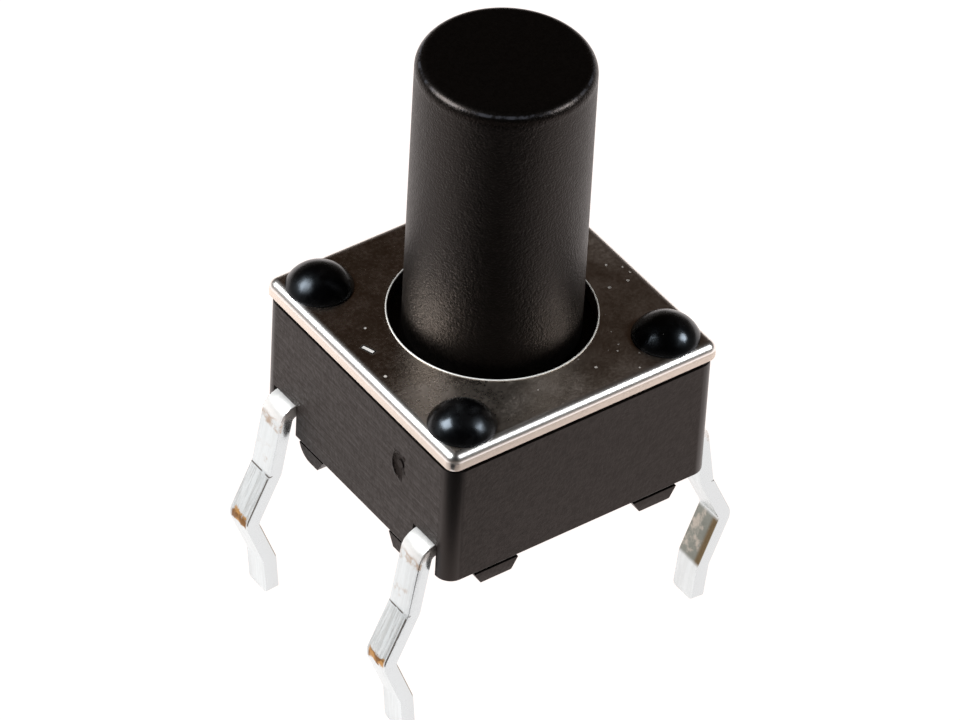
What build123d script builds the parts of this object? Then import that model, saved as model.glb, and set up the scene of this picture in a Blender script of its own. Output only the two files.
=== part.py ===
from build123d import *
import math
import os

# Tactile push button switch for a circuit board, in millimetres. The origin is the centre of the
# seating plane, where the feet stand on the board. +Z is up, and the leads leave the faces at +X and -X.

# Body
body_width = 6.0
cover_overhang = 0.03
base_height = 2.76
base_corner_radius = 0.32
wall_thickness = 0.55
cut_overrun = 0.50

# Feet, an L under each corner with one arm to each of the two faces that meet there
foot_height = 0.38
foot_recess = 0.06
foot_flare = 0.26
long_arm_inset = 1.21
long_arm_width = 0.66
short_arm_sweep = 0.44
short_arm_bulge = 0.10
short_arm_width = 0.18
foot_depth = 1.85

# Cover
cover_thickness = 0.33
cover_corner_radius = 0.22
cover_edge_radius = 0.20
cover_land = 1.065
hole_clearance = 0.27
hole_edge_radius = 0.04

# Corner posts and their headed-over rivet domes
post_inset = 0.73
post_radius = 0.43
post_clearance = 0.02
rivet_radius = 0.65
rivet_height = 0.42

# Plunger
plunger_top_height = 9.34
plunger_taper = 0.04
plunger_rim_radius = 0.22
flange_thickness = 0.70
flange_clearance = 0.12
stop_gap = 0.02
nub_radius = 0.70
nub_edge_radius = 0.10
nub_gap = 0.02

# Snap dome
press_travel = 0.25
dome_spare_height = 0.02
dome_thickness = 0.06
dome_clearance = 0.35

# Terminals, two stamped strips across the body with a formed lead at each end
strip_thickness = 0.28
strip_underlay = 0.41
strip_cover = 0.10
contact_proud = 0.06
lead_width = 0.60
lead_inset = 0.75
lead_length = 3.40
lead_standoff = 0.10
lead_kink_reach = 0.33
lead_kink_depth = 0.46
lead_knee_reach = 0.82
lead_knee_depth = 1.51
lead_heel_reach = 0.39
lead_heel_depth = 2.58
lead_tip_reach = 0.31
shoulder_bend_radius = 0.24
lead_bend_radius = 0.22
rim_arm_width = 0.60
rim_pad_inset = 0.15
rim_pad_length = 1.30
rim_arm_overlap = 0.10
tongue_width = 0.90
button_radius = 0.40
tongue_end_margin = 0.15

# Notch in the base wall round each lead
notch_depth = 0.35
notch_clearance = 0.07
notch_flare = 0.03
notch_headroom = 0.04

# Moulding gate mark on the -X face
gate_width = 0.40
gate_height = 0.62
gate_depth = 0.06
gate_stub_radius = 0.11
gate_stub_height = 0.04
gate_inset = 1.64
gate_drop = 1.00

# Levels above the board, worked out from the sizes above
underside_z = foot_height
strip_bottom_z = underside_z + strip_underlay
strip_mid_z = strip_bottom_z + strip_thickness / 2
strip_top_z = strip_bottom_z + strip_thickness
cavity_floor_z = strip_top_z + strip_cover
contact_z = cavity_floor_z + contact_proud
base_top_z = underside_z + base_height
cover_top_z = base_top_z + cover_thickness
dome_rise = press_travel + dome_spare_height
dome_top_z = contact_z + dome_rise + dome_thickness
nub_bottom_z = dome_top_z + nub_gap
flange_top_z = base_top_z - stop_gap
flange_bottom_z = flange_top_z - flange_thickness

# Radii and places, worked out from the sizes above
half_body = body_width / 2
base_width = body_width - 2 * cover_overhang
half_base = base_width / 2
cavity_radius = half_base - wall_thickness
flange_radius = cavity_radius - flange_clearance
dome_radius = cavity_radius - dome_clearance
hole_radius = half_body - cover_land
plunger_root_diameter = 2 * (hole_radius - hole_clearance)
plunger_tip_diameter = plunger_root_diameter - plunger_taper
post_place = half_body - post_inset
lead_pitch = body_width - 2 * lead_inset
lead_place = lead_pitch / 2
lead_row_spacing = body_width + 2 * lead_tip_reach
notch_outer_y = lead_place + lead_width / 2 + notch_clearance
notch_inner_y = lead_place - lead_width / 2 - notch_clearance
long_arm_centre = half_body - long_arm_inset
short_arm_centre = notch_inner_y - notch_flare - short_arm_sweep - short_arm_width / 2
gate_offset = half_body - gate_inset
corner_signs = [(sx, sy) for sx in (-1, 1) for sy in (-1, 1)]


def upright_block(width_x, width_y, bottom_z, top_z):
    """A centred block between two levels."""
    block = Box(width_x, width_y, top_z - bottom_z, align=(Align.CENTER, Align.CENTER, Align.MIN))
    return Pos(0, 0, bottom_z) * block


def upright_cylinder(radius, bottom_z, top_z):
    """A centred cylinder between two levels."""
    cylinder = Cylinder(radius, top_z - bottom_z, align=(Align.CENTER, Align.CENTER, Align.MIN))
    return Pos(0, 0, bottom_z) * cylinder


def rounded_block(width, corner_radius, bottom_z, top_z):
    """A square block between two levels, with rounded upright corners."""
    outline = RectangleRounded(width, width, corner_radius)
    return Pos(0, 0, bottom_z) * extrude(outline, amount=top_z - bottom_z)


def turned(profile_points):
    """A solid turned about Z from points given as radius and height."""
    outline = make_face(Polyline(*[(r, 0, z) for r, z in profile_points], close=True))
    return revolve(outline, Axis.Z)


def at_corners(solid, place):
    """Copies of a solid at the four corners of a square, each moved by plus or minus the same place."""
    return [Pos(sx * place, sy * place, 0) * solid for sx, sy in corner_signs]


def mirrored_to_corners(solid):
    """The solid and its mirror images in the XZ and YZ planes."""
    pair = [solid, mirror(solid, Plane.YZ)]
    return pair + [mirror(item, Plane.XZ) for item in pair]


def foot_bar(outline):
    """A foot arm: its outline in the XZ plane, run along Y from the face at +Y towards the middle."""
    bar = extrude(outline, amount=foot_depth, dir=(0, 1, 0))
    return Pos(0, half_base - foot_recess - foot_depth, 0) * bar


def long_arm():
    """The arm with two straight flared sides, near the corner."""
    narrow = long_arm_width / 2
    wide = narrow + foot_flare
    outline = Polyline(
        (long_arm_centre - wide, 0, underside_z),
        (long_arm_centre - narrow, 0, 0),
        (long_arm_centre + narrow, 0, 0),
        (long_arm_centre + wide, 0, underside_z),
        close=True,
    )
    return foot_bar(make_face(outline))


def short_arm():
    """The arm beside the lead: its outer side sweeps up in an arc to the lead's notch."""
    sole_inner = short_arm_centre - short_arm_width / 2
    low = Vector(short_arm_centre + short_arm_width / 2, 0, 0)
    high = low + Vector(short_arm_sweep, 0, underside_z)
    outward = (high - low).cross(Vector(0, 1, 0)).normalized() * -1
    sweep_side = ThreePointArc(low, (low + high) / 2 + outward * short_arm_bulge, high)
    rest = Polyline(high, (sole_inner - foot_flare, 0, underside_z), (sole_inner, 0, 0), low)
    return foot_bar(make_face([sweep_side, rest]))


def corner_foot():
    """The L-shaped foot of the corner at +X and +Y."""
    return long_arm() + Rot(0, 0, 90) * mirror(short_arm(), Plane.XZ)


def lead_notch():
    """The space cut from the wall round the lead at +X and +Y, open below, a little wider downwards."""
    top_z = strip_top_z + notch_headroom
    low_z = underside_z - cut_overrun
    flare_slope = notch_flare / (top_z - underside_z)
    low_y = notch_inner_y - flare_slope * (top_z - low_z)
    back_x = half_base - notch_depth
    outline = make_face(
        Polyline(
            (back_x, notch_outer_y, low_z),
            (back_x, notch_outer_y, top_z),
            (back_x, notch_inner_y, top_z),
            (back_x, low_y, low_z),
            close=True,
        )
    )
    return extrude(outline, amount=notch_depth + cut_overrun, dir=(1, 0, 0))


def gate_mark():
    """The shallow oval pit left by the moulding gate on the -X face, less the broken stub in it."""
    face = Plane(
        origin=(-half_base, -gate_offset, base_top_z - gate_drop),
        x_dir=(0, 0, 1),
        z_dir=(1, 0, 0),
    )
    oval = SlotOverall(gate_height, gate_width)
    pit = extrude(face * oval, amount=gate_depth)
    stub_face = face.offset(gate_depth - gate_stub_height)
    stub = extrude(stub_face * Circle(gate_stub_radius), amount=gate_stub_height)
    return pit - stub


def rivet_post():
    """One corner post through the cover, with its headed-over dome on the cover."""
    post = upright_cylinder(post_radius, base_top_z, cover_top_z)
    cap_radius = (rivet_radius**2 + rivet_height**2) / (2 * rivet_height)
    cap_turn = math.asin(rivet_radius / cap_radius)
    half_turn = cap_turn / 2
    mid_z = cover_top_z + rivet_height - cap_radius * (1 - math.cos(half_turn))
    apex = (0, 0, cover_top_z + rivet_height)
    edge = (rivet_radius, 0, cover_top_z)
    crown = ThreePointArc(edge, (cap_radius * math.sin(half_turn), 0, mid_z), apex)
    foot = Polyline(apex, (0, 0, cover_top_z), edge)
    return post + revolve(make_face([crown, foot]), Axis.Z)


def lead_line():
    """Centre line of a strip and its two leads, in the XZ plane, from the left tip to the right tip."""
    right = [
        (half_body + lead_standoff, strip_mid_z),
        (half_body + lead_kink_reach, -lead_kink_depth),
        (half_body + lead_knee_reach, -lead_knee_depth),
        (half_body + lead_heel_reach, -lead_heel_depth),
        (lead_row_spacing / 2, -lead_length),
    ]
    left = [(-x, z) for x, z in reversed(right)]
    bends = [lead_bend_radius] * 3 + [shoulder_bend_radius]
    return FilletPolyline(*[(x, 0, z) for x, z in left + right], radius=bends + bends[::-1])


def strip_with_leads(place_y):
    """A flat strip across the body at Y = place_y, with a formed lead at each end."""
    line = Pos(0, place_y, 0) * lead_line()
    section_plane = Plane(origin=line @ 0, x_dir=(0, 1, 0), z_dir=line % 0)
    return sweep(section_plane * Rectangle(lead_width, strip_thickness), path=line)


def raised_contact(outline):
    """A contact pushed up out of the strip: what is added above, and the hollow left below."""
    push = contact_z - strip_top_z
    raised = Pos(0, 0, strip_bottom_z + push) * extrude(outline, amount=strip_thickness)
    hollow = Pos(0, 0, strip_bottom_z) * extrude(outline, amount=push)
    return raised, hollow


def flat_arm(centre_x, width, start_y, end_y):
    """A flat bar of the strip's thickness along Y, centred on X = centre_x."""
    bar = upright_block(width, abs(end_y - start_y), strip_bottom_z, strip_top_z)
    return Pos(centre_x, (start_y + end_y) / 2, 0) * bar


def make_outer_terminal():
    """The terminal at +Y, with an arm and a raised pad under each side of the dome's rim."""
    terminal = strip_with_leads(lead_place)
    pad_x = dome_radius - rim_arm_width / 2 + rim_pad_inset / 2
    pad_width = rim_arm_width - rim_pad_inset
    arm_end = -(rim_pad_length / 2 + rim_pad_inset)
    arm_start = lead_place - lead_width / 2 + rim_arm_overlap
    for side in (-1, 1):
        terminal += flat_arm(side * pad_x, rim_arm_width, arm_start, arm_end)
        raised, hollow = raised_contact(Pos(side * pad_x, 0) * Rectangle(pad_width, rim_pad_length))
        terminal = terminal - hollow + raised
    return terminal


def make_centre_terminal():
    """The terminal at -Y, with a tongue to the raised round contact under the dome's middle."""
    terminal = strip_with_leads(-lead_place)
    tongue_start = -(lead_place - lead_width / 2 + rim_arm_overlap)
    terminal += flat_arm(0, tongue_width, tongue_start, button_radius + tongue_end_margin)
    raised, hollow = raised_contact(Circle(button_radius))
    return terminal - hollow + raised


def make_base_housing(inserts):
    """The moulded base with its feet, posts and rivet domes, moulded round the two terminals."""
    base = rounded_block(base_width, base_corner_radius, underside_z, base_top_z)
    base -= upright_cylinder(cavity_radius, cavity_floor_z, base_top_z + cut_overrun)
    for foot in mirrored_to_corners(corner_foot()):
        base += foot
    for notch in mirrored_to_corners(lead_notch()):
        base -= notch
    base -= gate_mark()
    for post in at_corners(rivet_post(), post_place):
        base += post
    for insert in inserts:
        base -= insert
    return base


def make_cover_plate():
    """The pressed cover: rounded shoulders, the plunger's hole and the four post holes."""
    plate = rounded_block(body_width, cover_corner_radius, base_top_z, cover_top_z)
    plate = fillet(plate.faces().sort_by(Axis.Z)[-1].edges(), cover_edge_radius)
    low_z = base_top_z - cut_overrun
    high_z = cover_top_z + cut_overrun
    plate -= upright_cylinder(hole_radius, low_z, high_z)
    top_face = plate.faces().filter_by(Axis.Z).sort_by(Axis.Z)[-1]
    plate = fillet(top_face.edges().filter_by(GeomType.CIRCLE).sort_by(SortBy.RADIUS)[-1], hole_edge_radius)
    for hole in at_corners(upright_cylinder(post_radius + post_clearance, low_z, high_z), post_place):
        plate -= hole
    return plate


def make_plunger():
    """The turned stem with its flange under the cover and the nub that presses the dome."""
    root_radius = plunger_root_diameter / 2
    tip_radius = plunger_tip_diameter / 2
    body = turned(
        [
            (0, nub_bottom_z),
            (nub_radius, nub_bottom_z),
            (nub_radius, flange_bottom_z),
            (flange_radius, flange_bottom_z),
            (flange_radius, flange_top_z),
            (root_radius, flange_top_z),
            (tip_radius, plunger_top_height),
            (0, plunger_top_height),
        ]
    )
    rings = body.edges().filter_by(GeomType.CIRCLE).sort_by(Axis.Z)
    body = fillet(rings[-1], plunger_rim_radius)
    rings = body.edges().filter_by(GeomType.CIRCLE).sort_by(Axis.Z)
    return fillet(rings[0], nub_edge_radius)


def make_snap_dome():
    """The shallow spring disc: a spherical cap whose rim stands on the outer terminal's pads."""
    inner_radius = (dome_radius**2 + dome_rise**2) / (2 * dome_rise)
    centre_z = contact_z + dome_rise - inner_radius
    shell = Pos(0, 0, centre_z) * (Sphere(inner_radius + dome_thickness) - Sphere(inner_radius))
    disc = upright_cylinder(dome_radius, contact_z, dome_top_z + cut_overrun)
    return shell & disc


outer_terminal = make_outer_terminal()
centre_terminal = make_centre_terminal()
nodes = {
    "base_housing": make_base_housing([outer_terminal, centre_terminal]),
    "cover_plate": make_cover_plate(),
    "plunger": make_plunger(),
    "snap_dome": make_snap_dome(),
    "outer_terminal": outer_terminal,
    "centre_terminal": centre_terminal,
}

os.makedirs("parts", exist_ok=True)
for name, solid in nodes.items():
    export_step(solid, f"parts/{name}.step")
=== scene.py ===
"""Tactile push button switch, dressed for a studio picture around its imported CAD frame.

Every piece is modelled in millimetres and brought to metres when it is finished. The frame is the CAD's own:
the origin is the centre of the seating plane, +Z is up and the leads leave the body at +X and -X.
"""
import logging
import math
from collections.abc import Callable, Iterator, Sequence
from contextlib import contextmanager
from dataclasses import dataclass, field
from enum import Enum
from typing import Any

import bmesh
import bpy
from mathutils import Matrix, Vector


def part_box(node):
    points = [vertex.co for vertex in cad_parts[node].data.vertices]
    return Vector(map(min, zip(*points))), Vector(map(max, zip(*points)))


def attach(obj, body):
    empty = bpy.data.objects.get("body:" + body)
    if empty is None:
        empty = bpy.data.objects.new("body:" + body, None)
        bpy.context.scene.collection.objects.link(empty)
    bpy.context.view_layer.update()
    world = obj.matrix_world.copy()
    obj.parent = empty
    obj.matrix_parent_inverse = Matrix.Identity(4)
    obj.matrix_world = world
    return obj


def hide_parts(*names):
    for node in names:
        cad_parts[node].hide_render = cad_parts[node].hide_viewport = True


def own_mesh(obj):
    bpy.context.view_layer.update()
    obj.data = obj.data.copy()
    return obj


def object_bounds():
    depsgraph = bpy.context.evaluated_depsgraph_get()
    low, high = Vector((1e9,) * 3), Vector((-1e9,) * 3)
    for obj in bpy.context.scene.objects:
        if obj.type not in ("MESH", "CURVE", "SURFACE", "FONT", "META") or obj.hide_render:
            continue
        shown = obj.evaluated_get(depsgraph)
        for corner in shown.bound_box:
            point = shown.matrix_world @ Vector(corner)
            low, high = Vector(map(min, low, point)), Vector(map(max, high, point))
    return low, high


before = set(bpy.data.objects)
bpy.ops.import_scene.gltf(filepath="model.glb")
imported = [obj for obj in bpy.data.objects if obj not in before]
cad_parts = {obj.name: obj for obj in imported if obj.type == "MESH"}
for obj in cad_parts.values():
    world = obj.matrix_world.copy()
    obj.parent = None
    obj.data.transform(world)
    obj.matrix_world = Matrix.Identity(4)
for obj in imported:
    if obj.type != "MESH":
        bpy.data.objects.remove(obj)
CAD_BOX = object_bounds()

log = logging.getLogger("push_button_switch")

Colour = tuple[float, float, float, float]
Point = tuple[float, float, float]
# A start and an end, half a width and its faded edge, or a place by two of its coordinates.
Span = tuple[float, float]
# Cells per millimetre, the share of them that holds a speck, and a speck's radius in cells.
Dust = tuple[float, float, float]

MM = 0.001
# Millimetres within which a point is taken to lie at a place, and within which two points are one.
NEAR = 0.004
DOUBLE = 0.0001
# A face counts as level if its normal's Z is beyond this.
LEVEL = 0.9
# Signs of X and Y at the four corners.
CORNERS = ((-1, -1), (-1, 1), (1, -1), (1, 1))
# Where most values of noise and grain lie, and their middle.
NOISE_SPAN: Span = (0.3, 0.7)
NOISE_MIDDLE = 0.5
HOUSING = "housing"
PLUNGER = "plunger"


class Pick(Enum):
    """What an edit-mode selection takes hold of."""

    POINT = "VERT"
    EDGE = "EDGE"
    FACE = "FACE"


class Join(Enum):
    """How a second block changes the first."""

    ADD = "UNION"
    CUT = "DIFFERENCE"


class Side(Enum):
    """Which of the two terminals is meant, by the sign of its place along Y."""

    OUTER = 1
    CENTRE = -1


def node_box(node: str) -> tuple[Vector, Vector]:
    """The lowest and highest corner of a CAD node, in millimetres.

    Args:
        node: Name of the CAD node.

    Returns:
        The two corners.
    """
    low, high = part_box(node)
    return low / MM, high / MM


class Bench:
    """The hand tools: primitives, edit-mode selection, joining and finishing, all in millimetres."""

    @staticmethod
    def clear() -> None:
        """Deselects every object."""
        bpy.ops.object.select_all(action="DESELECT")

    @staticmethod
    def hold(piece: bpy.types.Object) -> None:
        """Makes one object the only selected and active one."""
        Bench.clear()
        piece.select_set(True)
        bpy.context.view_layer.objects.active = piece

    @staticmethod
    def settle(name: str) -> bpy.types.Object:
        """Names the primitive just added and moves its place and size into its mesh.

        Args:
            name: The object's name.

        Returns:
            The object.
        """
        piece = bpy.context.view_layer.objects.active
        piece.name = piece.data.name = name
        bpy.ops.object.transform_apply(location=True, rotation=True, scale=True)
        return piece

    @staticmethod
    def block(name: str, low: Sequence[float], high: Sequence[float]) -> bpy.types.Object:
        """A block between two corners.

        Args:
            name: The object's name.
            low: Lowest corner.
            high: Highest corner.

        Returns:
            The block.
        """
        Bench.clear()
        middle = [(a + b) / 2 for a, b in zip(low, high)]
        bpy.ops.mesh.primitive_cube_add(size=1, location=middle, scale=[b - a for a, b in zip(low, high)])
        return Bench.settle(name)

    @staticmethod
    def rod(name: str, radius: float, low_z: float, high_z: float, at: Sequence[float] = (0, 0),
            sides: int = 160) -> bpy.types.Object:
        """An upright rod.

        Args:
            name: The object's name.
            radius: Its radius.
            low_z: Level of its lower end.
            high_z: Level of its upper end.
            at: Place of its axis, as X and Y.
            sides: Number of flats round it.

        Returns:
            The rod.
        """
        Bench.clear()
        bpy.ops.mesh.primitive_cylinder_add(
            vertices=sides, radius=radius, depth=high_z - low_z,
            location=(at[0], at[1], (low_z + high_z) / 2))
        return Bench.settle(name)

    @staticmethod
    @contextmanager
    def editing(piece: bpy.types.Object) -> Iterator[None]:
        """Edit mode on one piece, with nothing selected at the start.

        Args:
            piece: The piece to edit.
        """
        Bench.hold(piece)
        bpy.ops.object.mode_set(mode="EDIT")
        bpy.ops.mesh.select_all(action="DESELECT")
        yield
        bpy.ops.object.mode_set(mode="OBJECT")

    @staticmethod
    def pick(piece: bpy.types.Object, kind: Pick, test: Callable[[Any], bool]) -> None:
        """Selects the points, edges or faces that pass a test, and nothing else.

        Args:
            piece: The piece in edit mode.
            kind: What to take hold of.
            test: Says of one bmesh element whether it is wanted.

        Raises:
            ValueError: If nothing passes the test.
        """
        bpy.ops.mesh.select_mode(type=kind.value)
        bpy.ops.mesh.select_all(action="DESELECT")
        mesh = bmesh.from_edit_mesh(piece.data)
        items = {Pick.POINT: mesh.verts, Pick.EDGE: mesh.edges, Pick.FACE: mesh.faces}[kind]
        found = [item for item in items if test(item)]
        for item in found:
            item.select_set(True)
        mesh.select_flush_mode()
        bmesh.update_edit_mesh(piece.data)
        if not found:
            raise ValueError(f"{piece.name}: nothing to pick")

    @staticmethod
    def pull(x: float = 0, y: float = 0, z: float = 0) -> None:
        """Extrudes what is selected by a move."""
        bpy.ops.mesh.extrude_region_move(TRANSFORM_OT_translate={"value": (x, y, z)})

    @staticmethod
    def round_off(radius: float, steps: int) -> None:
        """Bevels the selected edges to a round."""
        bpy.ops.mesh.bevel(offset=radius, segments=steps, profile=0.5, affect="EDGES", clamp_overlap=True)

    @staticmethod
    def turn(name: str, rings: Sequence[Span], sides: int, capped: bool = True) -> bpy.types.Object:
        """A turned piece: a disc or hoop drawn out ring by ring along Z.

        Args:
            name: The object's name.
            rings: Radius and level of each ring, in order.
            sides: Number of flats round it.
            capped: Whether the first ring is a filled disc and the last stays filled.

        Returns:
            The piece.
        """
        Bench.clear()
        radius, level = rings[0]
        bpy.ops.mesh.primitive_circle_add(
            vertices=sides, radius=radius, location=(0, 0, level),
            fill_type="NGON" if capped else "NOTHING")
        piece = Bench.settle(name)
        with Bench.editing(piece):
            bpy.ops.mesh.select_mode(type="FACE" if capped else "EDGE")
            bpy.ops.mesh.select_all(action="SELECT")
            for next_radius, next_level in rings[1:]:
                Bench.pull(z=next_level - level)
                scale = next_radius / radius
                bpy.ops.transform.resize(value=(scale, scale, 1), center_override=(0, 0, next_level))
                radius, level = next_radius, next_level
        return piece

    @staticmethod
    def apply(piece: bpy.types.Object, kind: str, **settings: Any) -> None:
        """Adds one modifier and applies it at once.

        Args:
            piece: The piece that is changed.
            kind: Blender's name of the modifier.
            **settings: The modifier's own settings.
        """
        Bench.hold(piece)
        modifier = piece.modifiers.new(kind.title(), kind)
        for key, value in settings.items():
            setattr(modifier, key, value)
        bpy.ops.object.modifier_apply(modifier=modifier.name)

    @staticmethod
    def combine(piece: bpy.types.Object, other: bpy.types.Object, how: Join) -> None:
        """Adds another block to a piece or cuts it away, and throws the block away.

        Args:
            piece: The piece that is kept.
            other: The block that is used up.
            how: Adding or cutting.
        """
        Bench.apply(piece, "BOOLEAN", operation=how.value, object=other, solver="EXACT")
        bpy.data.meshes.remove(other.data)

    @staticmethod
    def copy(piece: bpy.types.Object, name: str, scale: Point = (1, 1, 1), move: Point = (0, 0, 0)
             ) -> bpy.types.Object:
        """A copy with its own mesh, mirrored or moved.

        Args:
            piece: What is copied.
            name: The copy's name.
            scale: Factors along the axes, -1 to mirror.
            move: How far it moves.

        Returns:
            The copy.
        """
        twin = piece.copy()
        twin.data = piece.data.copy()
        bpy.context.scene.collection.objects.link(twin)
        Bench.hold(twin)
        twin.scale = scale
        twin.location = move
        settled = Bench.settle(name)
        Bench.outward(settled)
        return settled

    @staticmethod
    def outward(piece: bpy.types.Object) -> None:
        """Merges doubles and turns every face outwards."""
        with Bench.editing(piece):
            bpy.ops.mesh.select_all(action="SELECT")
            bpy.ops.mesh.remove_doubles(threshold=DOUBLE)
            bpy.ops.mesh.normals_make_consistent(inside=False)

    @staticmethod
    def finish(piece: bpy.types.Object, angle: float = 32.0) -> bpy.types.Object:
        """Brings a piece to metres, with outward faces and even shading.

        Args:
            piece: The modelled piece, in millimetres.
            angle: Edges sharper than this many degrees stay sharp.

        Returns:
            The same piece.
        """
        Bench.outward(piece)
        Bench.hold(piece)
        piece.scale = (MM, MM, MM)
        bpy.ops.object.transform_apply(location=True, rotation=True, scale=True)
        bpy.ops.object.shade_smooth_by_angle(angle=math.radians(angle))
        Bench.apply(piece, "WEIGHTED_NORMAL", keep_sharp=True, weight=60)
        return piece

    @staticmethod
    def dress(piece: bpy.types.Object, finish: bpy.types.Material, body: str, node: str, slot: str) -> None:
        """Gives a finished piece its material and its place in the frame.

        Args:
            piece: The finished piece.
            finish: Its material.
            body: The CAD body it rides on.
            node: The CAD node it stands for.
            slot: The record's material slot; not used.
        """
        piece.data.materials.clear()
        piece.data.materials.append(finish)
        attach(piece, body)
        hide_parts(node)
        log.info("%s: %d faces, rides on %s", piece.name, len(piece.data.polygons), body)


class NodeSheet:
    """Writes shader nodes: each input takes a plain value or another node's output."""

    def __init__(self, tree: bpy.types.NodeTree) -> None:
        """Starts a sheet on an empty tree.

        Args:
            tree: The node tree to fill.
        """
        self.tree = tree
        tree.nodes.clear()

    def node(self, kind: str, inputs: dict[str | int, Any] | None = None, **settings: Any) -> bpy.types.Node:
        """Adds one node.

        Args:
            kind: Node type without its ShaderNode prefix.
            inputs: Socket names or numbers with their values or sources.
            **settings: The node's own settings.

        Returns:
            The node.
        """
        made = self.tree.nodes.new("ShaderNode" + kind)
        for key, value in settings.items():
            setattr(made, key, value)
        for key, value in (inputs or {}).items():
            self.feed(made, key, value)
        return made

    def feed(self, node: bpy.types.Node, key: str | int, value: Any) -> None:
        """Sets or links one input of a node."""
        if isinstance(value, bpy.types.NodeSocket):
            self.tree.links.new(value, node.inputs[key])
        else:
            node.inputs[key].default_value = value

    def sum(self, operation: str, first: Any, second: Any = 0.0) -> bpy.types.NodeSocket:
        """The result of one sum on two values.

        Args:
            operation: Blender's name of the sum.
            first: First value or source.
            second: Second value or source.

        Returns:
            The result.
        """
        return self.node("Math", {0: first, 1: second}, operation=operation).outputs[0]

    def vector(self, operation: str, first: Any, second: Any) -> bpy.types.NodeSocket:
        """The result of one sum on two vectors.

        Args:
            operation: Blender's name of the sum.
            first: First vector or source.
            second: Second vector or source.

        Returns:
            The result.
        """
        return self.node("VectorMath", {0: first, 1: second}, operation=operation).outputs[0]

    def length(self, vector: bpy.types.NodeSocket) -> bpy.types.NodeSocket:
        """The length of a vector."""
        return self.node("VectorMath", {0: vector}, operation="LENGTH").outputs["Value"]

    def band(self, value: Any, start: float, end: float, low: float = 0.0, high: float = 1.0
             ) -> bpy.types.NodeSocket:
        """A smooth step from low to high between two values.

        Args:
            value: What is measured.
            start: Where the step starts.
            end: Where it ends.
            low: Result before the start.
            high: Result after the end.

        Returns:
            The stepped value.
        """
        step = self.node("MapRange", {
            "Value": value, "From Min": start, "From Max": end, "To Min": low, "To Max": high},
            interpolation_type="SMOOTHSTEP")
        return step.outputs["Result"]

    def stripe(self, value: Any, middle: float, half: float, soft: float) -> bpy.types.NodeSocket:
        """A mask that is 1 within half of a middle value and fades out over a soft edge.

        Args:
            value: What is measured.
            middle: Middle of the stripe.
            half: Half its width.
            soft: Width of its faded edge.

        Returns:
            The mask.
        """
        away = self.sum("ABSOLUTE", self.sum("SUBTRACT", value, middle))
        return self.band(away, half, half + soft, 1.0, 0.0)

    def both(self, first: Any, second: Any) -> bpy.types.NodeSocket:
        """The product of two masks, or of a mask and a number."""
        return self.sum("MULTIPLY", first, second)

    def rest(self, mask: Any) -> bpy.types.NodeSocket:
        """What a mask leaves out."""
        return self.sum("SUBTRACT", 1.0, mask)

    def largest(self, first: bpy.types.NodeSocket, *others: bpy.types.NodeSocket) -> bpy.types.NodeSocket:
        """The largest of several values."""
        for other in others:
            first = self.sum("MAXIMUM", first, other)
        return first

    def blend(self, mask: Any, base: Any, over: Any) -> bpy.types.NodeSocket:
        """Mixes two colours by a mask.

        Args:
            mask: 0 for the base, 1 for the colour over it.
            base: Base colour or source.
            over: Colour over it or source.

        Returns:
            The mixed colour.
        """
        return self.node("Mix", {0: mask, 6: base, 7: over}, data_type="RGBA").outputs[2]

    def coats(self, base: Any, *layers: tuple[Any, Any]) -> Any:
        """Lays colours over a base one after another, each through its own mask.

        Args:
            base: The base colour.
            *layers: A mask and a colour for each coat, the lowest first.

        Returns:
            The finished colour.
        """
        for mask, over in layers:
            base = self.blend(mask, base, over)
        return base

    def millimetres(self) -> bpy.types.NodeSocket:
        """Object coordinates in millimetres."""
        place = self.node("TexCoord").outputs["Object"]
        return self.node("VectorMath", {0: place, "Scale": 1 / MM}, operation="SCALE").outputs[0]

    def axes(self, place: bpy.types.NodeSocket) -> tuple[bpy.types.NodeSocket, ...]:
        """The X, Y and Z of a place."""
        return tuple(self.node("SeparateXYZ", {0: place}).outputs)

    def noise(self, place: Any, scale: Any, detail: float, rough: float = 0.55) -> bpy.types.NodeSocket:
        """Cloudy noise from about 0 to 1.

        Args:
            place: Where it is read.
            scale: Clouds per unit of place.
            detail: Octaves of finer clouds.
            rough: Weight of the finer clouds.

        Returns:
            The noise.
        """
        clouds = self.node("TexNoise", {
            "Vector": place, "Scale": scale, "Detail": detail, "Roughness": rough})
        return clouds.outputs["Fac"]

    def use(self, group: bpy.types.NodeTree, inputs: dict[str, Any]) -> bpy.types.Node:
        """Places a shared group in this sheet.

        Args:
            group: The shader node group.
            inputs: Its inputs by name.

        Returns:
            The group's node.
        """
        made = self.tree.nodes.new("ShaderNodeGroup")
        made.node_tree = group
        for key, value in inputs.items():
            self.feed(made, key, value)
        return made


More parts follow.
